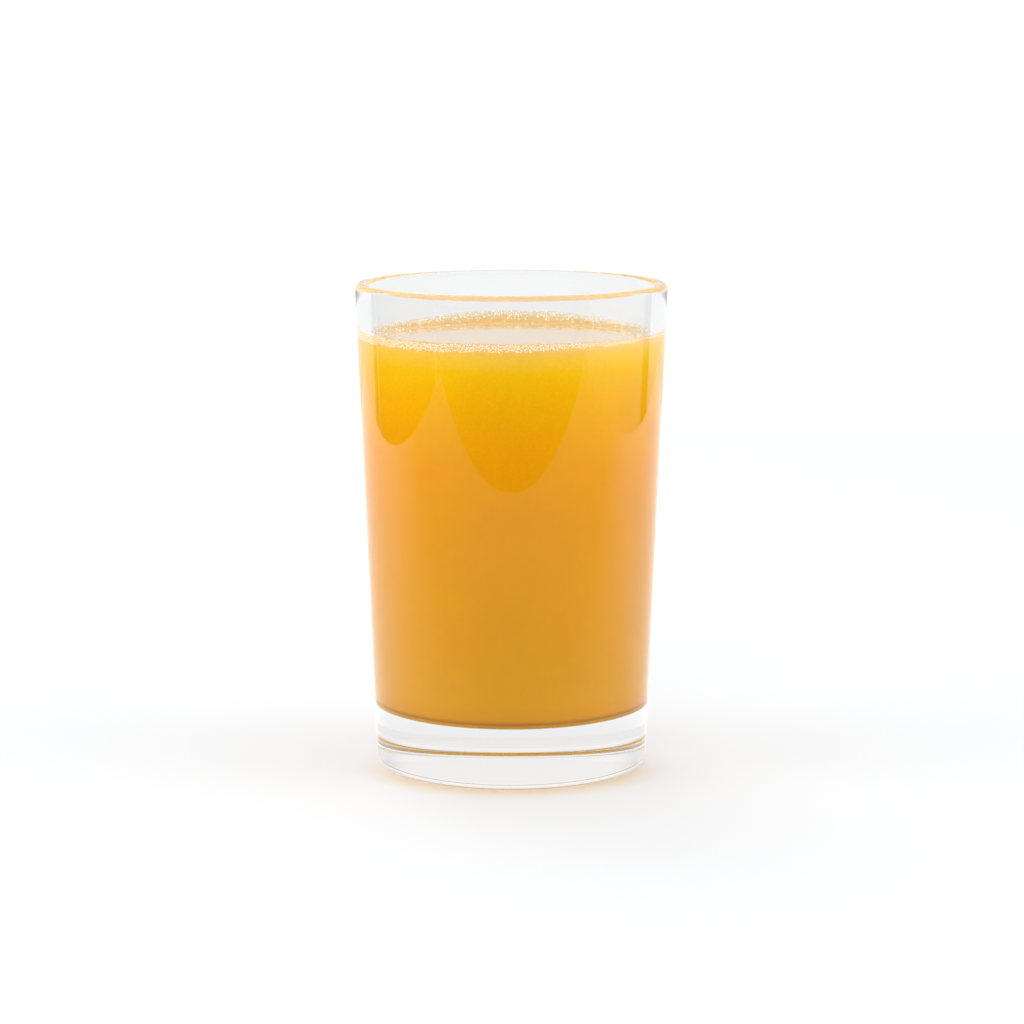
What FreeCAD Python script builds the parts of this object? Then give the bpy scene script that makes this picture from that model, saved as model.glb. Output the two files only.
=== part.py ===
"""A glass of orange juice: a slightly conical tumbler with a thick clear base, the juice it holds and the ring
of froth round the edge of the juice.

Millimetres, +Z up. The origin is the centre of the foot, on the surface that the glass stands on.
"""
import FreeCAD
import Part
import Sketcher
import math
import os

# The driving dimensions: name, value and what it measures.
SIZES = [
    ("glass_height", 115.0, "surface to the top of the rim"),
    ("rim_radius", 36.8, "outer face of the wall, carried up to the height of the rim"),
    ("base_radius", 32.1, "outer face of the wall, carried down to the surface"),
    ("wall", 3.0, "thickness of the wall, measured across"),
    ("rim_round", 1.15, "radius of the rim's two edges"),
    ("heel_radius", 2.5, "round between the wall and the foot"),
    ("foot_inner_radius", 26.5, "inner edge of the ring that the glass stands on"),
    ("recess_slope", 3.0, "width of the slope from the foot into the recess"),
    ("recess_depth", 0.5, "height of the recess under the base"),
    ("base_thickness", 14.4, "surface to the floor inside"),
    ("well_radius", 2.4, "round between the floor and the wall inside"),
    ("headspace", 12.6, "top of the rim down to the level of the juice"),
    ("meniscus_rise", 1.75, "how far the juice climbs the wall"),
    ("meniscus_width", 3.6, "how far from the wall the climb starts"),
    ("froth_height", 0.35, "froth above the juice"),
    ("froth_depth", 0.3, "froth below the level of the juice"),
    ("froth_width", 3.0, "mean width of the froth, from the wall"),
    ("froth_swing", 1.3, "how much wider and narrower it gets round the glass"),
]

# The froth's width round the glass: waves per turn, where the first crest is (degrees from +X) and its share.
FROTH_WAVES = [(1, 205.0, 0.55), (2, 240.0, 0.2), (5, 80.0, 0.14), (9, 20.0, 0.11)]
FROTH_POINTS = 72

START, END = 1, 2
ORIGIN, X_AXIS, Y_AXIS = (-1, 1), -1, -2


def make_sheet(doc):
    """Writes the driving dimensions into a spreadsheet, one named cell to a row."""
    sheet = doc.addObject("Spreadsheet::Sheet", "Sizes")
    for row, (alias, value, meaning) in enumerate(SIZES, start=1):
        sheet.set(f"A{row}", alias)
        sheet.set(f"B{row}", str(value))
        sheet.set(f"C{row}", meaning)
        sheet.setAlias(f"B{row}", alias)
    doc.recompute()
    return sheet


class Outline:
    """A closed outline in a body's XZ plane, drawn in order from points that start near the solved ones."""

    def __init__(self, body, name):
        plane = next(f for f in body.Origin.OriginFeatures if f.Role == "XZ_Plane")
        self.sketch = body.newObject("Sketcher::SketchObject", name)
        self.sketch.AttachmentSupport = [(plane, "")]
        self.sketch.MapMode = "FlatFace"

    def line(self, start, end, construction=False):
        segment = Part.LineSegment(FreeCAD.Vector(*start, 0), FreeCAD.Vector(*end, 0))
        return self.sketch.addGeometry(segment, construction)

    def arc(self, centre, radius, first, last):
        circle = Part.Circle(FreeCAD.Vector(*centre, 0), FreeCAD.Vector(0, 0, 1), radius)
        return self.sketch.addGeometry(
            Part.ArcOfCircle(circle, math.radians(first), math.radians(last)), False
        )

    def hold(self, kind, *where):
        self.sketch.addConstraint(Sketcher.Constraint(kind, *where))

    def size(self, kind, where, start_value, expression):
        """Adds a dimension and binds it to the sheet."""
        index = self.sketch.addConstraint(Sketcher.Constraint(kind, *where, start_value))
        self.sketch.setExpression(f"Constraints[{index}]", expression)

    def point(self, where, xz, x_expression, z_expression):
        """Places one point by its distances from the axis and from the surface."""
        self.size("DistanceX", (*ORIGIN, *where), xz[0], x_expression)
        self.size("DistanceY", (*ORIGIN, *where), xz[1], z_expression)


def wall_line(outline, sheet, inset, inset_expression):
    """Draws the construction line that a face of the wall lies on, and returns it with its radius by height."""
    foot = (sheet.base_radius - inset, 0.0)
    top = (sheet.rim_radius - inset, sheet.glass_height)
    guide = outline.line(foot, top, construction=True)
    outline.hold("PointOnObject", guide, START, X_AXIS)
    outline.size("DistanceX", (*ORIGIN, guide, START), foot[0], f"Sizes.base_radius{inset_expression}")
    outline.point((guide, END), top, f"Sizes.rim_radius{inset_expression}", "Sizes.glass_height")
    return guide, lambda z: foot[0] + (top[0] - foot[0]) * z / sheet.glass_height


def revolve(body, outline):
    """Turns the outline about the glass's axis."""
    solid = body.newObject("PartDesign::Revolution", "Turned")
    solid.Profile = outline.sketch
    solid.ReferenceAxis = (outline.sketch, ["V_Axis"])
    solid.Angle = 360
    outline.sketch.Visibility = False
    return solid


def make_glass(doc, sheet):
    """The tumbler: foot ring and shallow recess, rounded heel, wall, rounded rim, floor with a rounded corner."""
    body = doc.addObject("PartDesign::Body", "Glass")
    body.Label = "glass_tumbler"
    o = Outline(body, "GlassOutline")
    outer, outer_at = wall_line(o, sheet, 0.0, "")
    inner, inner_at = wall_line(o, sheet, sheet.wall, " - Sizes.wall")
    heel, well, height, rim = sheet.heel_radius, sheet.well_radius, sheet.glass_height, sheet.rim_round
    flat_edge = (sheet.foot_inner_radius - sheet.recess_slope, sheet.recess_depth)
    foot_edge = (sheet.foot_inner_radius, 0.0)
    rim_base = height - rim
    rim_out, rim_in = outer_at(rim_base) - rim, inner_at(rim_base) + rim

    ceiling = o.line((0, sheet.recess_depth), flat_edge)
    slope = o.line(flat_edge, foot_edge)
    foot = o.line(foot_edge, (outer_at(0) - heel, 0))
    heel_arc = o.arc((outer_at(heel) - heel, heel), heel, -90, 0)
    outside = o.line((outer_at(heel), heel), (outer_at(rim_base), rim_base))
    outer_round = o.arc((rim_out, rim_base), rim, 0, 90)
    rim_flat = o.line((rim_out, height), (rim_in, height))
    inner_round = o.arc((rim_in, rim_base), rim, 90, 180)
    inner_floor = sheet.base_thickness
    inside = o.line((inner_at(rim_base), rim_base), (inner_at(inner_floor + well), inner_floor + well))
    well_arc = o.arc((inner_at(inner_floor + well) - well, inner_floor + well), well, -90, 0)
    floor = o.line((inner_at(inner_floor + well) - well, inner_floor), (0, inner_floor))
    axis = o.line((0, inner_floor), (0, sheet.recess_depth))

    o.hold("PointOnObject", ceiling, START, Y_AXIS)
    o.hold("Horizontal", ceiling)
    o.hold("Coincident", ceiling, END, slope, START)
    o.point(
        (ceiling, END), flat_edge, "Sizes.foot_inner_radius - Sizes.recess_slope", "Sizes.recess_depth"
    )
    o.hold("Coincident", slope, END, foot, START)
    o.hold("PointOnObject", foot, START, X_AXIS)
    o.size("DistanceX", (*ORIGIN, foot, START), foot_edge[0], "Sizes.foot_inner_radius")
    o.hold("Horizontal", foot)
    o.hold("Tangent", foot, END, heel_arc, START)
    o.hold("Tangent", heel_arc, END, outside, START)
    o.size("Radius", (heel_arc,), heel, "Sizes.heel_radius")
    o.hold("Tangent", outside, outer)
    o.hold("Tangent", outside, END, outer_round, START)
    o.hold("Tangent", outer_round, END, rim_flat, START)
    o.hold("Tangent", rim_flat, END, inner_round, START)
    o.hold("Tangent", inner_round, END, inside, START)
    o.size("Radius", (outer_round,), rim, "Sizes.rim_round")
    o.hold("Equal", outer_round, inner_round)
    o.hold("Horizontal", rim_flat)
    o.size("DistanceY", (*ORIGIN, rim_flat, START), height, "Sizes.glass_height")
    o.hold("Tangent", inside, inner)
    o.hold("Tangent", inside, END, well_arc, END)
    o.hold("Tangent", well_arc, START, floor, START)
    o.size("Radius", (well_arc,), well, "Sizes.well_radius")
    o.hold("Horizontal", floor)
    o.size("DistanceY", (*ORIGIN, floor, END), inner_floor, "Sizes.base_thickness")
    o.hold("PointOnObject", floor, END, Y_AXIS)
    o.hold("Coincident", floor, END, axis, START)
    o.hold("Coincident", axis, END, ceiling, START)
    revolve(body, o)
    return body


def make_filling(doc, sheet):
    """Everything liquid: from the floor inside up to the level, with its edge climbing the wall."""
    body = doc.addObject("PartDesign::Body", "Filling")
    o = Outline(body, "FillingOutline")
    inner, inner_at = wall_line(o, sheet, sheet.wall, " - Sizes.wall")
    well, bottom = sheet.well_radius, sheet.base_thickness
    level = sheet.glass_height - sheet.headspace
    level_text = "Sizes.glass_height - Sizes.headspace"
    climb = level + sheet.meniscus_rise
    radius, lean = meniscus_arc(sheet)
    start = inner_at(climb) - sheet.meniscus_width

    floor = o.line((0, bottom), (inner_at(bottom + well) - well, bottom))
    well_arc = o.arc((inner_at(bottom + well) - well, bottom + well), well, -90, 0)
    side = o.line((inner_at(bottom + well), bottom + well), (inner_at(climb), climb))
    meniscus = o.arc((start, level + radius), radius, -90, -90 + lean)
    surface = o.line((start, level), (0, level))
    axis = o.line((0, level), (0, bottom))

    o.hold("PointOnObject", floor, START, Y_AXIS)
    o.hold("Horizontal", floor)
    o.size("DistanceY", (*ORIGIN, floor, START), bottom, "Sizes.base_thickness")
    o.hold("Tangent", floor, END, well_arc, START)
    o.hold("Tangent", well_arc, END, side, START)
    o.size("Radius", (well_arc,), well, "Sizes.well_radius")
    o.hold("Tangent", side, inner)
    o.hold("Coincident", side, END, meniscus, END)
    o.hold("Tangent", meniscus, START, surface, START)
    o.hold("Horizontal", surface)
    o.size("DistanceX", (meniscus, START, meniscus, END), sheet.meniscus_width, "Sizes.meniscus_width")
    o.size("DistanceY", (*ORIGIN, side, END), climb, f"{level_text} + Sizes.meniscus_rise")
    o.size("DistanceY", (*ORIGIN, surface, END), level, level_text)
    o.hold("PointOnObject", surface, END, Y_AXIS)
    o.hold("Coincident", surface, END, axis, START)
    o.hold("Coincident", axis, END, floor, START)
    revolve(body, o)
    return body


def meniscus_arc(sheet):
    """Radius of the arc that leaves the level flat and meets the wall, and the angle it turns through."""
    width, rise = sheet.meniscus_width, sheet.meniscus_rise
    radius = (width * width + rise * rise) / (2 * rise)
    return radius, math.degrees(math.asin(width / radius))


def make_froth_band(doc, sheet):
    """The band that froth can lie in: against the wall, from just under the level to just over the meniscus."""
    body = doc.addObject("PartDesign::Body", "FrothBand")
    o = Outline(body, "FrothOutline")
    inner, inner_at = wall_line(o, sheet, sheet.wall, " - Sizes.wall")
    level = sheet.glass_height - sheet.headspace
    level_text = "Sizes.glass_height - Sizes.headspace"
    low, flat = level - sheet.froth_depth, level + sheet.froth_height
    climb = flat + sheet.meniscus_rise
    radius, lean = meniscus_arc(sheet)
    start = inner_at(climb) - sheet.meniscus_width
    reach = inner_at(level) - 2 * (sheet.froth_width + sheet.froth_swing)

    bottom = o.line((reach, low), (inner_at(low), low))
    side = o.line((inner_at(low), low), (inner_at(climb), climb))
    meniscus = o.arc((start, flat + radius), radius, -90, -90 + lean)
    top = o.line((start, flat), (reach, flat))
    back = o.line((reach, flat), (reach, low))

    o.hold("Horizontal", bottom)
    o.size("DistanceY", (*ORIGIN, bottom, START), low, f"{level_text} - Sizes.froth_depth")
    o.hold("Coincident", bottom, END, side, START)
    o.hold("Tangent", side, inner)
    o.hold("Coincident", side, END, meniscus, END)
    o.size("DistanceX", (meniscus, START, meniscus, END), sheet.meniscus_width, "Sizes.meniscus_width")
    o.size(
        "DistanceY",
        (*ORIGIN, side, END),
        climb,
        f"{level_text} + Sizes.froth_height + Sizes.meniscus_rise",
    )
    o.hold("Tangent", meniscus, START, top, START)
    o.hold("Horizontal", top)
    o.size("DistanceY", (*ORIGIN, top, END), flat, f"{level_text} + Sizes.froth_height")
    o.hold("Coincident", top, END, back, START)
    o.hold("Vertical", back)
    o.hold("Coincident", back, END, bottom, START)
    o.size(
        "DistanceX",
        (bottom, START, bottom, END),
        inner_at(low) - reach,
        "2 * (Sizes.froth_width + Sizes.froth_swing)",
    )
    revolve(body, o)
    return body


def froth_width_at(sheet, degrees):
    """Width of the froth in one direction, never so narrow that the ring breaks."""
    wave = sum(share * math.cos(math.radians(turns * (degrees - crest))) for turns, crest, share in FROTH_WAVES)
    return sheet.froth_width + sheet.froth_swing * wave


def make_open_pool(doc, sheet):
    """The uneven middle that the froth leaves open, as a column from the floor inside to over the rim."""
    level = sheet.glass_height - sheet.headspace
    bore = sheet.base_radius + (sheet.rim_radius - sheet.base_radius) * level / sheet.glass_height - sheet.wall
    points = []
    for step in range(FROTH_POINTS):
        degrees = 360 * step / FROTH_POINTS
        radius = bore - froth_width_at(sheet, degrees)
        turn = math.radians(degrees)
        points.append(FreeCAD.Vector(radius * math.cos(turn), radius * math.sin(turn), sheet.base_thickness))
    edge = Part.BSplineCurve()
    edge.interpolate(points, PeriodicFlag=True)
    face = Part.Face(Part.Wire(edge.toShape()))
    pool = doc.addObject("Part::Feature", "OpenPool")
    pool.Shape = face.extrude(FreeCAD.Vector(0, 0, sheet.glass_height))
    return pool


def cut(doc, name, base, tool):
    """One solid less another, as an object that keeps both."""
    result = doc.addObject("Part::Cut", name)
    result.Base, result.Tool = base, tool
    return result


def check(doc, pieces):
    """Stops with the reason if anything failed or a piece isn't one valid solid."""
    for item in doc.Objects:
        if "Invalid" in item.State or "Error" in item.State:
            raise RuntimeError(f"{item.Label}: {item.State}")
    for item in pieces:
        shape = item.Shape
        if shape.isNull() or not shape.isValid() or len(shape.Solids) != 1:
            raise RuntimeError(f"{item.Label}: not one valid solid")


def main():
    doc = FreeCAD.newDocument("GlassOfJuice")
    sheet = make_sheet(doc)
    glass = make_glass(doc, sheet)
    filling = make_filling(doc, sheet)
    froth = cut(doc, "FrothRing", make_froth_band(doc, sheet), make_open_pool(doc, sheet))
    froth.Label = "froth_ring"
    juice = cut(doc, "Juice", filling, froth)
    juice.Label = "orange_juice"
    pieces = [glass, juice, froth]
    for item in pieces:
        item.Placement = FreeCAD.Placement()
    doc.recompute()
    check(doc, pieces)
    os.makedirs("parts", exist_ok=True)
    for item in pieces:
        item.Shape.exportStep(f"parts/{item.Label}.step")
        box = item.Shape.optimalBoundingBox()
        print(f"{item.Label}: {item.Shape.Volume / 1000:.2f} ml, z {box.ZMin:.2f} to {box.ZMax:.2f}")


main()
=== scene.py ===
import math

import bmesh
import bpy
import numpy as np
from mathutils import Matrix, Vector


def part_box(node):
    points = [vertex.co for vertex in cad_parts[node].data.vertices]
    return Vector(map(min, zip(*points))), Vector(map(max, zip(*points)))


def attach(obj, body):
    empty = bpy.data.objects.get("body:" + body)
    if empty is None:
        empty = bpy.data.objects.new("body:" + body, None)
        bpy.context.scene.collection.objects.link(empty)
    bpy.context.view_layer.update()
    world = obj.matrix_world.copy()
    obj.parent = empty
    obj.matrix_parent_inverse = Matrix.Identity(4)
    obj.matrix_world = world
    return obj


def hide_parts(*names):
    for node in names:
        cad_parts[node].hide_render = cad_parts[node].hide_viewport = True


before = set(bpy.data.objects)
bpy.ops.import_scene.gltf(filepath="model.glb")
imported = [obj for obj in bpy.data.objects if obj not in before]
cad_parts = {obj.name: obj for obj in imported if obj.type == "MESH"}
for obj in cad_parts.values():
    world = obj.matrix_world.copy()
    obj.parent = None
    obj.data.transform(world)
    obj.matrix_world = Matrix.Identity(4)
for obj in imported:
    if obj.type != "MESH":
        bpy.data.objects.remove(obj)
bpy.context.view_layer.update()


# The tumbler: clear pressed soda-lime glass, one piece with a thick base. Its outline is pressed in a mould,
# the rim is then melted smooth by a flame, and a shallow recess under the base leaves a ring to stand on.
glass_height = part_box("glass_tumbler")[1][2]
rim_radius, base_radius = 0.0368, 0.0321
wall = 0.003
rim_round = 0.00115
heel_radius = 0.0025
foot_inner_radius, recess_slope, recess_depth = 0.0265, 0.003, 0.0005
base_thickness, well_radius = 0.0144, 0.0024
crease_radius = 0.006
turns = 256
wall_rows = 24
glass_tint = (0.982, 0.989, 0.993, 1.0)
glass_index = 1.52


def outer_at(z):
    return base_radius + (rim_radius - base_radius) * z / glass_height


def bore_at(z):
    return outer_at(z) - wall


def arc(centre, radius, first, last, steps):
    """Points along an arc, from one angle to another in degrees from straight out."""
    angles = np.radians(np.linspace(first, last, steps + 1))
    return [(centre[0] + radius * math.cos(a), centre[1] + radius * math.sin(a)) for a in angles]


def turned(name, outline):
    """Turns an outline of (radius, height) points, from axis to axis, and numbers its bands."""
    ring = np.linspace(0, 2 * math.pi, turns, endpoint=False)
    verts, rows = [], []
    for radius, z in outline:
        if radius < 1e-9:
            rows.append([len(verts)])
            verts.append((0.0, 0.0, z))
        else:
            rows.append(list(range(len(verts), len(verts) + turns)))
            verts.extend((radius * math.cos(a), radius * math.sin(a), z) for a in ring)
    faces, bands = [], []
    for number, (lower, upper) in enumerate(zip(rows, rows[1:])):
        for k in range(turns):
            n = (k + 1) % turns
            if len(lower) == 1:
                face = (lower[0], upper[n], upper[k])
            elif len(upper) == 1:
                face = (lower[k], lower[n], upper[0])
            else:
                face = (lower[k], lower[n], upper[n], upper[k])
            faces.append(face)
            bands.append(number)
    return placed(name, verts, faces), bands


def placed(name, verts, faces):
    """A smooth mesh object made from its corners and faces."""
    mesh = bpy.data.meshes.new(name)
    mesh.from_pydata(verts, [], faces)
    mesh.shade_smooth()
    piece = bpy.data.objects.new(name, mesh)
    bpy.context.collection.objects.link(piece)
    return piece


def glass_outline():
    """From the recess out under the foot, up the wall, over the rim and down to the floor inside."""
    slope = math.degrees(math.atan2(recess_depth, recess_slope))
    ease = crease_radius * math.tan(math.radians(slope / 2))
    ceiling_end = foot_inner_radius - recess_slope
    points = [(0.0, recess_depth), (0.5 * ceiling_end, recess_depth)]
    points += arc((ceiling_end - ease, recess_depth - crease_radius), crease_radius, 90, 90 - slope, 4)
    points += arc((foot_inner_radius + ease, crease_radius), crease_radius, 270 - slope, 270, 4)
    points += arc((outer_at(heel_radius) - heel_radius, heel_radius), heel_radius, -90, 0, 20)
    rim_base = glass_height - rim_round
    points += [(outer_at(z), z) for z in np.linspace(heel_radius, rim_base, wall_rows)[1:-1]]
    points += arc((outer_at(rim_base) - rim_round, rim_base), rim_round, 0, 90, 14)
    points += arc((bore_at(rim_base) + rim_round, rim_base), rim_round, 90, 180, 14)
    well_top = base_thickness + well_radius
    points += [(bore_at(z), z) for z in np.linspace(rim_base, well_top, wall_rows)[1:-1]]
    points += arc((bore_at(well_top) - well_radius, well_top), well_radius, 0, -90, 16)
    points += [(0.5 * bore_at(well_top), base_thickness), (0.0, base_thickness)]
    return points


tumbler, _ = turned("tumbler", glass_outline())

# The glass itself, which also lets soft light through to what it stands on.
glass = bpy.data.materials.new("clear_pressed_glass")
glass.use_nodes = True
nodes, links = glass.node_tree.nodes, glass.node_tree.links
body = nodes["Principled BSDF"]
body.inputs["Base Color"].default_value = glass_tint
body.inputs["Roughness"].default_value = 0.0
body.inputs["IOR"].default_value = glass_index
body.inputs["Transmission Weight"].default_value = 1.0
clear = nodes.new("ShaderNodeBsdfTransparent")
path = nodes.new("ShaderNodeLightPath")
mix = nodes.new("ShaderNodeMixShader")
links.new(path.outputs["Is Shadow Ray"], mix.inputs["Fac"])
links.new(body.outputs["BSDF"], mix.inputs[1])
links.new(clear.outputs["BSDF"], mix.inputs[2])
links.new(mix.outputs["Shader"], nodes["Material Output"].inputs["Surface"])
tumbler.data.materials.append(glass)
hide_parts("glass_tumbler")
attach(tumbler, "root")


# The juice: smooth cloudy orange juice poured to just under the rim. It wets the glass, so its edge climbs
# the wall. Against the glass it is paler and more yellow near the top, partly where fine air and pulp still
# rise and partly as painted light, lighter towards the top as if lit from above.
into_wall = 0.00015
meniscus_width, meniscus_rise = 0.0036, 0.00175
froth_below_level = 0.0003
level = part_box("froth_ring")[0][2] + froth_below_level
floor_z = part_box("orange_juice")[0][2]
well_z = floor_z + well_radius
edge_z = level + meniscus_rise
arc_radius = (meniscus_width ** 2 + meniscus_rise ** 2) / (2 * meniscus_rise)
lean = math.degrees(math.asin(meniscus_width / arc_radius))
climb_start = bore_at(edge_z) - meniscus_width
outline = [(0.0, floor_z - into_wall), (0.5 * bore_at(well_z), floor_z - into_wall)]
outline += arc((bore_at(well_z) - well_radius, well_z), well_radius + into_wall, -90, 0, 12)
outline += [(bore_at(z) + into_wall, z) for z in np.linspace(well_z, edge_z, 40)[1:]]
side_bands = len(outline) - 1
outline += arc((climb_start, level + arc_radius), arc_radius, -90 + lean, -90, 16)
outline += [(climb_start * share, level) for share in (0.8, 0.5, 0.2, 0.0)]
juice, bands = turned("orange_juice_body", outline)


def sums_for(tree):
    """For one node tree: a function that does a sum, and one that maps a value between two ranges."""
    def maths(operation, *values):
        node = tree.nodes.new("ShaderNodeMath")
        node.operation = operation
        for socket, value in zip(node.inputs, values):
            if isinstance(value, (int, float)):
                socket.default_value = value
            else:
                tree.links.new(value, socket)
        return node.outputs[0]

    def mapped(value, low, high, start=0.0, end=1.0, kind="LINEAR"):
        node = tree.nodes.new("ShaderNodeMapRange")
        node.interpolation_type = kind
        for socket, number in zip(("From Min", "From Max", "To Min", "To Max"), (low, high, start, end)):
            node.inputs[socket].default_value = number
        tree.links.new(value, node.inputs["Value"])
        return node.outputs["Result"]

    return maths, mapped


def coloured_by(tree, value, stops, low, high):
    """Colours that follow a value from low to high, given as (value, colour) stops."""
    _, mapped = sums_for(tree)
    ramp = tree.nodes.new("ShaderNodeValToRGB")
    while len(ramp.color_ramp.elements) < len(stops):
        ramp.color_ramp.elements.new(0.5)
    for element, (place, colour) in zip(ramp.color_ramp.elements, stops):
        element.position = (place - low) / (high - low)
        element.color = (*colour, 1.0)
    tree.links.new(mapped(value, low, high), ramp.inputs["Fac"])
    return ramp.outputs["Color"]


def multiplied(tree, first, second):
    """Two colours multiplied. The first is a colour or a socket, the second a socket."""
    mix = tree.nodes.new("ShaderNodeMix")
    mix.data_type = "RGBA"
    mix.blend_type = "MULTIPLY"
    mix.inputs["Factor"].default_value = 1.0
    if isinstance(first, tuple):
        mix.inputs["A"].default_value = first
    else:
        tree.links.new(first, mix.inputs["A"])
    tree.links.new(second, mix.inputs["B"])
    return mix.outputs["Result"]


def pulp_group():
    """How bright the juice is from place to place: it drifts where pulp is thicker, and has fine specks."""
    group = bpy.data.node_groups.new("pulp", "ShaderNodeTree")
    group.interface.new_socket("Place", in_out="INPUT", socket_type="NodeSocketVector")
    group.interface.new_socket("Drift Scale", in_out="INPUT", socket_type="NodeSocketFloat")
    group.interface.new_socket("Speck Scale", in_out="INPUT", socket_type="NodeSocketFloat")
    group.interface.new_socket("Tone", in_out="OUTPUT", socket_type="NodeSocketFloat")
    given = group.nodes.new("NodeGroupInput")
    result = group.nodes.new("NodeGroupOutput")
    maths, mapped = sums_for(group)

    def noise(scale, detail):
        node = group.nodes.new("ShaderNodeTexNoise")
        node.inputs["Detail"].default_value = detail
        group.links.new(given.outputs["Place"], node.inputs["Vector"])
        group.links.new(given.outputs[scale], node.inputs["Scale"])
        return node.outputs["Fac"]

    drift = mapped(noise("Drift Scale", 3.0), 0.3, 0.7, 0.975, 1.0)
    specks = mapped(noise("Speck Scale", 1.0), 0.35, 0.75, 0.975, 1.03)
    group.links.new(maths("MULTIPLY", drift, specks), result.inputs["Tone"])
    return group


pulp = pulp_group()
juice_index = 1.34
drift_scale, speck_scale = 60.0, 1600.0


def juice_material(name, low, high, stops, gloss, roughness, skin):
    """Cloudy juice that changes colour with height, from low to high, with pulp in it and a skin on it."""
    material = bpy.data.materials.new(name)
    material.use_nodes = True
    tree = material.node_tree
    where = tree.nodes.new("ShaderNodeTexCoord")
    split = tree.nodes.new("ShaderNodeSeparateXYZ")
    tree.links.new(where.outputs["Object"], split.inputs["Vector"])
    cloud = tree.nodes.new("ShaderNodeGroup")
    cloud.node_tree = pulp
    cloud.inputs["Drift Scale"].default_value = drift_scale
    cloud.inputs["Speck Scale"].default_value = speck_scale
    tree.links.new(where.outputs["Object"], cloud.inputs["Place"])
    colour = coloured_by(tree, split.outputs["Z"], stops, low, high)
    body = tree.nodes["Principled BSDF"]
    tree.links.new(multiplied(tree, colour, cloud.outputs["Tone"]), body.inputs["Base Color"])
    body.inputs["Roughness"].default_value = roughness
    body.inputs["IOR"].default_value = juice_index
    body.inputs["Specular IOR Level"].default_value = gloss
    body.inputs["Coat Weight"].default_value = skin
    body.inputs["Coat IOR"].default_value = juice_index
    return material


# Against the glass, from the floor of the well up to the froth, the juice has no surface of its own to shine.
# Its colours here hold painted light: at the floor of the well a painted bright line under a painted dark
# line stands in for how the curved corner of the well bends light, and above that the colour grows lighter
# and yellower towards the top, partly as painted shading from above.
side_colours_with_painted_light = [
    (0.0144, (0.90, 0.50, 0.060)),
    (0.0150, (0.86, 0.44, 0.030)),
    (0.0154, (0.50, 0.19, 0.010)),
    (0.0162, (0.700, 0.310, 0.004)),
    (0.0200, (0.72, 0.350, 0.001)),
    (0.0436, (0.745, 0.354, 0.000)),
    (0.0624, (0.775, 0.351, 0.000)),
    (0.0746, (0.81, 0.364, 0.000)),
    (0.0830, (0.835, 0.408, 0.000)),
    (0.0916, (0.865, 0.469, 0.000)),
    (0.0972, (0.865, 0.520, 0.003)),
    (0.1011, (0.85, 0.54, 0.06)),
    (0.1024, (0.84, 0.54, 0.14)),
    (0.1036, (0.83, 0.54, 0.22)),
    (0.1040, (0.74, 0.46, 0.22)),
]
# Its open surface is wet and glossy, and pales where it thins out up the wall.
open_colours = [
    (level, (0.62, 0.36, 0.11)),
    (level + 0.0002, (0.60, 0.34, 0.07)),
    (level + 0.0008, (0.58, 0.39, 0.15)),
    (level + 0.0014, (0.58, 0.48, 0.33)),
    (edge_z, (0.58, 0.50, 0.42)),
]
under_level = level - 0.0001
mesh = juice.data
for material in (
    juice_material("juice_against_glass", floor_z, edge_z, side_colours_with_painted_light, 0.0, 0.3, 0.0),
    juice_material("juice_open_surface", under_level, edge_z, open_colours, 0.5, 0.05, 0.6),
):
    mesh.materials.append(material)
for face, band in zip(mesh.polygons, bands):
    face.material_index = 0 if band < side_bands else 1
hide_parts("orange_juice")
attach(juice, "root")


# The froth: very small air bubbles, caught between the juice and the wall and floating where the juice
# climbs it. Each is a film of juice round air. Most are at the front left and along the back, and they thin
# out at the right.
rng = np.random.default_rng(7)
wall_throws, floating_throws = 8000, 2000
wall_bubble, floating_bubble = (0.00013, 0.00024), (0.00009, 0.00017)
most_froth = 232
into_film = 0.00002
edge_gap = 0.0003
inside_wall = 0.0001
furthest_out = 0.006


def thickness(angle):
    """How much froth there is in one direction, 0 to 1: most at the front left, little at the right."""
    swell = (0.5 + 0.5 * np.cos(angle - math.radians(most_froth))) ** 2.2
    return np.clip(swell + 0.09 * np.cos(9 * angle + 0.6) + 0.09 * np.cos(31 * angle + 2.0), 0.02, 1.0)


def at_the_wall():
    """A place under the juice's edge, against the wall, or nothing where the froth is thin."""
    angle = rng.uniform(0, 2 * math.pi)
    amount = float(thickness(angle))
    patch = 0.5 + 0.5 * math.cos(17 * angle + 0.8)
    if rng.random() > 0.10 + 0.30 * patch ** 2 + 1.2 * amount:
        return None
    z = edge_z - edge_gap - rng.random() ** 1.2 * (0.0003 + 0.0015 * amount)
    radius = bore_at(z) + into_wall - into_film
    return (radius * math.cos(angle), radius * math.sin(angle), z)


def on_the_surface():
    """A place on the climbing surface near the wall, most often at the back, or nothing."""
    angle = rng.uniform(0, 2 * math.pi)
    amount = float(thickness(angle))
    behind = max(0.0, math.sin(angle))
    if rng.random() > 0.12 + 0.88 * behind ** 0.5 + 0.4 * amount:
        return None
    away = rng.exponential(0.0004 + 0.0007 * amount)
    if away > furthest_out:
        return None
    radius = bore_at(edge_z) - inside_wall - away
    climb = max(0.0, radius - climb_start)
    z = level + arc_radius - math.sqrt(arc_radius ** 2 - climb ** 2)
    return (radius * math.cos(angle), radius * math.sin(angle), z)


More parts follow.
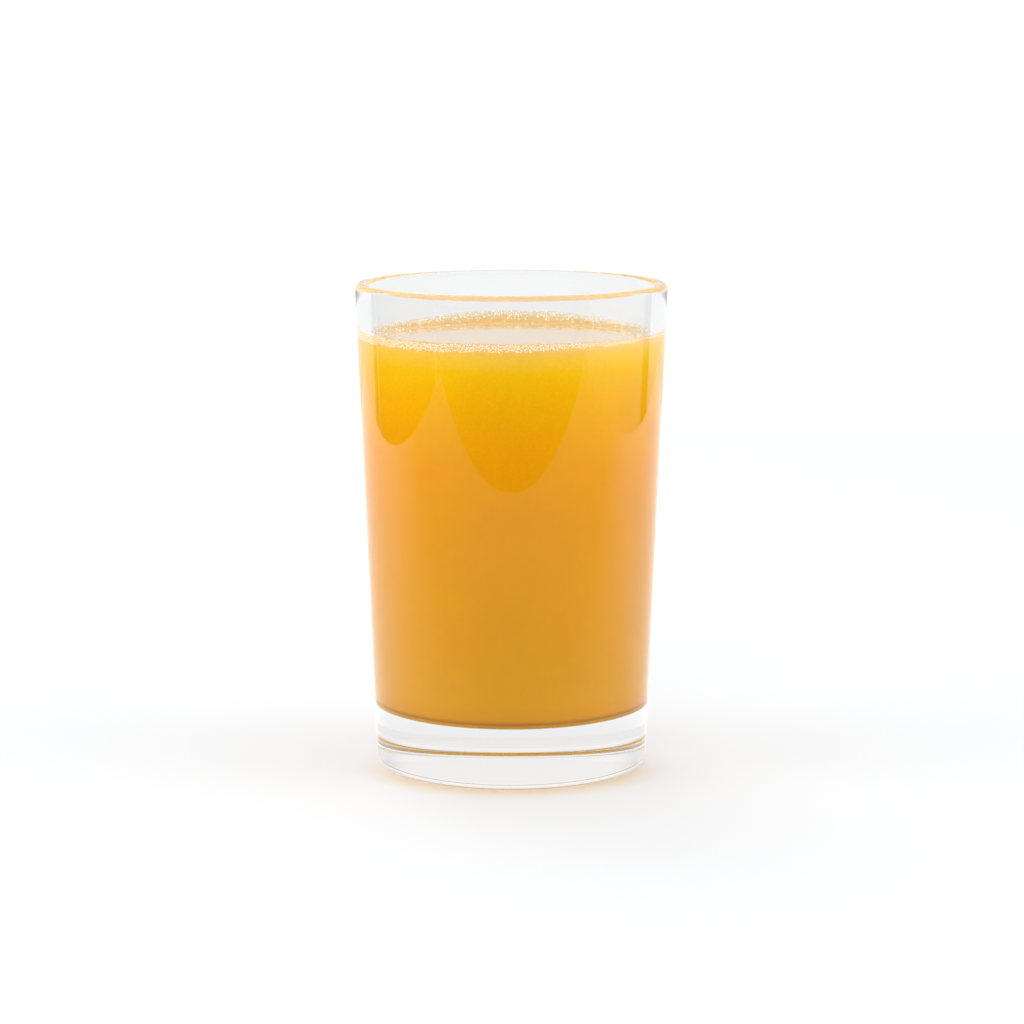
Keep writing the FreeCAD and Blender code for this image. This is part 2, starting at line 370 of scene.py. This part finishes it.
def spread(count, place, radius_range, apart):
    """Throws bubbles one by one and keeps those that are far enough apart, as a share of their two radii."""
    kept, radii, cells = [], [], {}
    size = 2 * radius_range[1]
    for _ in range(count):
        centre = place()
        if centre is None:
            continue
        radius = rng.uniform(*radius_range) if rng.random() < 0.85 else radius_range[1]
        key = tuple(int(c // size) for c in centre)
        near = [
            (other, r)
            for dx in (-1, 0, 1) for dy in (-1, 0, 1) for dz in (-1, 0, 1)
            for other, r in cells.get((key[0] + dx, key[1] + dy, key[2] + dz), ())
        ]
        if any(math.dist(other, centre) < apart * (r + radius) for other, r in near):
            continue
        cells.setdefault(key, []).append((centre, radius))
        kept.append(centre)
        radii.append(radius)
    return np.array(kept), np.array(radii)


def bubbles(name, centres, radii, detail, material):
    """One piece of round bubbles, all copies of one small ball."""
    ball = bmesh.new()
    bmesh.ops.create_icosphere(ball, subdivisions=detail, radius=1.0)
    verts = np.array([v.co[:] for v in ball.verts])
    faces = np.array([[v.index for v in f.verts] for f in ball.faces])
    ball.free()
    all_verts = (verts[None] * radii[:, None, None] + centres[:, None]).reshape(-1, 3)
    all_faces = (faces[None] + (np.arange(len(centres)) * len(verts))[:, None, None]).reshape(-1, 3)
    piece = placed(name, all_verts.tolist(), all_faces.tolist())
    piece.data.materials.append(material)
    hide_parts("froth_ring")
    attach(piece, "root")


froth = bpy.data.materials.new("froth_bubbles")
froth.use_nodes = True
body = froth.node_tree.nodes["Principled BSDF"]
body.inputs["Base Color"].default_value = (1.0, 0.97, 0.88, 1.0)
body.inputs["Roughness"].default_value = 0.12
body.inputs["IOR"].default_value = juice_index

bubbles("froth_at_the_wall", *spread(wall_throws, at_the_wall, wall_bubble, 1.02), 2, froth)
bubbles("froth_on_the_juice", *spread(floating_throws, on_the_surface, floating_bubble, 1.0), 1, froth)


# The table: a plain matt white top, lit from below as well, so that it ends in the same white as the
# backdrop. In front of the foot a painted warm glow, in its colour and in its own light, stands in for the
# warm light that comes through the juice.
table_left, table_right, table_front, table_back = -0.437, 0.46, -0.330, 0.60
corners = [(table_left, table_front, 0), (table_right, table_front, 0), (table_right, table_back, 0),
           (table_left, table_back, 0)]
table_white = (0.415, 0.425, 0.436, 1.0)
table_glow = 0.34
plain_white = (1.0, 1.0, 1.0, 1.0)
# The painted warm glow in front of the foot: its colours by distance from the axis, how far it reaches, and
# where it fades in towards the front.
painted_glow_stops = [(0.029, (1.0, 1.0, 1.0)), (0.032, (1.0, 0.84, 0.66)), (0.036, (1.0, 0.94, 0.86)),
              (0.0395, (1.0, 1.0, 0.995)), (0.042, (1.0, 1.0, 1.0))]
painted_glow_reach = 0.050
painted_glow_from, painted_glow_full = -0.002, -0.020

table = placed("table", corners, [(0, 1, 2, 3)])
white = bpy.data.materials.new("white_table")
white.use_nodes = True
tree = white.node_tree
nodes, links = tree.nodes, tree.links
maths, mapped = sums_for(tree)
body = nodes["Principled BSDF"]
body.inputs["Roughness"].default_value = 1.0
body.inputs["Specular IOR Level"].default_value = 0.0
body.inputs["Emission Strength"].default_value = table_glow
where = nodes.new("ShaderNodeTexCoord")
split = nodes.new("ShaderNodeSeparateXYZ")
links.new(where.outputs["Object"], split.inputs["Vector"])
from_middle = nodes.new("ShaderNodeVectorMath")
from_middle.operation = "LENGTH"
links.new(where.outputs["Object"], from_middle.inputs[0])
# The painted warm glow, put into both the table's own light and its colour.
painted_warm_glow = nodes.new("ShaderNodeMix")
painted_warm_glow.data_type = "RGBA"
painted_warm_glow.inputs["A"].default_value = plain_white
links.new(mapped(split.outputs["Y"], painted_glow_from, painted_glow_full), painted_warm_glow.inputs["Factor"])
painted_warm_colour = coloured_by(tree, from_middle.outputs["Value"], painted_glow_stops, 0.0, painted_glow_reach)
links.new(painted_warm_colour, painted_warm_glow.inputs["B"])
links.new(painted_warm_glow.outputs["Result"], body.inputs["Emission Color"])
links.new(multiplied(tree, table_white, painted_warm_glow.outputs["Result"]), body.inputs["Base Color"])

# For rays that the glass mirrors, the table is a painted glow, darker in front than beside and behind it,
# and seen through the glass it is painted a little darker, as painted shade.
painted_darkening_through = 0.08
sheen_front, sheen_back = 0.50, 1.28
front_end, back_start = -0.12, 0.04
path = nodes.new("ShaderNodeLightPath")
straight = maths("SUBTRACT", 1.0, path.outputs["Is Transmission Ray"])
mirrored = maths("MULTIPLY", path.outputs["Is Glossy Ray"], straight)
by_depth = mapped(split.outputs["Y"], front_end, back_start, sheen_front, sheen_back)
sheen = nodes.new("ShaderNodeEmission")
links.new(maths("MULTIPLY", by_depth, mirrored), sheen.inputs["Strength"])
share = maths("MULTIPLY_ADD", path.outputs["Is Transmission Ray"], painted_darkening_through, mirrored)
mix = nodes.new("ShaderNodeMixShader")
links.new(share, mix.inputs["Fac"])
links.new(body.outputs["BSDF"], mix.inputs[1])
links.new(sheen.outputs["Emission"], mix.inputs[2])
links.new(mix.outputs["Shader"], nodes["Material Output"].inputs["Surface"])
table.data.materials.append(white)


# The lamps: four round soft boxes, at both sides, in front and behind. They light the table and the juice,
# and don't show in the glass.
lamps = [
    ("left_box", (-1.15, -0.30, 0.70), 0.9, 5.1),
    ("right_box", (1.15, -0.30, 0.70), 0.9, 5.6),
    ("front_box", (-0.20, -1.05, 0.95), 0.8, 2.8),
    ("back_box", (-0.35, 0.95, 1.15), 0.9, 6.0),
]
for name, place, size, watts in lamps:
    data = bpy.data.lights.new(name, "AREA")
    data.shape = "DISK"
    data.size = size
    data.energy = watts
    data.cycles.use_multiple_importance_sampling = False
    lamp = bpy.data.objects.new(name, data)
    lamp.location = place
    lamp.rotation_euler = (-lamp.location).to_track_quat("-Z", "Y").to_euler()
    bpy.context.collection.objects.link(lamp)


# The surroundings: a white backdrop behind the table and a bright ceiling, in a dimmer room. A direction's
# height is z, from -1 to 1, and forward is 1 towards the backdrop, 0 to the sides and -1 to the room.
world = bpy.data.worlds.new("white_surround")
bpy.context.scene.world = world
world.cycles.sampling_method = "NONE"
world.use_nodes = True
nodes, links = world.node_tree.nodes, world.node_tree.links
nodes.clear()
out = nodes.new("ShaderNodeOutputWorld")
sky = nodes.new("ShaderNodeBackground")
links.new(sky.outputs["Background"], out.inputs["Surface"])
maths, mapped = sums_for(world.node_tree)


def between(value, low, high):
    return mapped(value, low, high, kind="SMOOTHSTEP")


def less(mask, share):
    """1, less a share of a mask."""
    return maths("SUBTRACT", 1.0, maths("MULTIPLY", mask, share))


where = nodes.new("ShaderNodeTexCoord")
split = nodes.new("ShaderNodeSeparateXYZ")
links.new(where.outputs["Generated"], split.inputs["Vector"])
x, y, z = split.outputs
flat = maths("SQRT", maths("ADD", maths("MULTIPLY", x, x), maths("MULTIPLY", y, y)))
forward = maths("DIVIDE", y, maths("MAXIMUM", flat, 1e-4))
azimuth = maths("MULTIPLY", maths("ARCTAN2", x, maths("MULTIPLY", y, -1.0)), math.degrees(1.0))

# What the glass mirrors: the backdrop, which falls off upwards, the ceiling, a paler wall at the right, two
# narrow upright strips of light, and the room.
over_table = between(z, 0.02, 0.22)
backdrop = maths("SUBTRACT", 1.01, maths("MULTIPLY", over_table, 0.08))
backdrop = maths("MULTIPLY", between(forward, 0.56, 0.60), backdrop)
overhead = maths("MULTIPLY", between(z, 0.25, 0.6), 0.9)
right_wall = maths("MULTIPLY", between(x, 0.3, 0.5), between(forward, -0.55, -0.5))
right_wall = maths("MULTIPLY", right_wall, less(between(forward, 0.42, 0.46), 1.0))
above = maths("MULTIPLY", between(z, 0.0, 0.04), 0.52)


def post(direction, width, strength):
    """A narrow upright strip of light, by its direction in degrees from straight in front, right positive."""
    away = maths("ABSOLUTE", maths("SUBTRACT", azimuth, direction))
    return maths("MULTIPLY", less(between(away, 0.4 * width, 0.6 * width), 1.0), strength)


room = maths("MAXIMUM", maths("MAXIMUM", backdrop, overhead), maths("MULTIPLY", right_wall, 0.7))
room = maths("MAXIMUM", room, maths("MAXIMUM", post(-58.0, 1.6, 0.45), post(-119.5, 2.0, 0.45)))
room = maths("MAXIMUM", room, maths("ADD", above, 0.07))

# What shows through the glass: a white surround, a little darker to the sides, with a bluish ceiling.
ceiling = between(z, 0.35, 0.70)
beside = maths("SUBTRACT", 1.0, between(maths("ABSOLUTE", forward), 0.50, 0.80))
surround = maths("SUBTRACT", 0.94, maths("MULTIPLY", over_table, 0.04))
surround = maths("MULTIPLY", maths("MULTIPLY", surround, less(ceiling, 0.45)), less(beside, 0.18))

# Soft light for whatever is matt, plain white behind it all, and the two surroundings above for the glass.
dome_light, backdrop_light = 1.1, 1.02
ceiling_blue = (0.86, 0.96, 1.0, 1.0)
path = nodes.new("ShaderNodeLightPath")
matt = maths("MINIMUM", path.outputs["Diffuse Depth"], 1.0)
straight = path.outputs["Is Camera Ray"]
glassy = maths("SUBTRACT", 1.0, maths("MAXIMUM", matt, straight))
through = maths("MULTIPLY", glassy, path.outputs["Is Transmission Ray"])
mirrored = maths("SUBTRACT", glassy, through)
total = maths("ADD", maths("MULTIPLY", matt, dome_light), maths("MULTIPLY", straight, backdrop_light))
total = maths("ADD", total, maths("MULTIPLY", mirrored, room))
total = maths("ADD", total, maths("MULTIPLY", through, surround))
links.new(total, sky.inputs["Strength"])
tint = nodes.new("ShaderNodeMix")
tint.data_type = "RGBA"
links.new(maths("MULTIPLY", glassy, ceiling), tint.inputs["Factor"])
tint.inputs["A"].default_value = plain_white
tint.inputs["B"].default_value = ceiling_blue
links.new(tint.outputs["Result"], sky.inputs["Color"])


# The camera: a long lens a little above the rim, looking slightly down, and enough bounces for light to pass
# through both walls of the glass and the froth.
bounces, glossy_bounces = 24, 12
scene = bpy.context.scene
scene.view_settings.view_transform = "Standard"
scene.cycles.transmission_bounces = bounces
scene.cycles.glossy_bounces = glossy_bounces
scene.cycles.max_bounces = bounces
scene.cycles.transparent_max_bounces = bounces

looking_down = 9.05
data = bpy.data.cameras.new("camera")
data.sensor_width = 36.0
data.lens = 115.5
camera = bpy.data.objects.new("camera", data)
camera.location = (0.00016, -0.771, 0.1832)
camera.rotation_euler = (math.radians(90 - looking_down), 0.0, 0.0)
bpy.context.collection.objects.link(camera)
scene.camera = camera
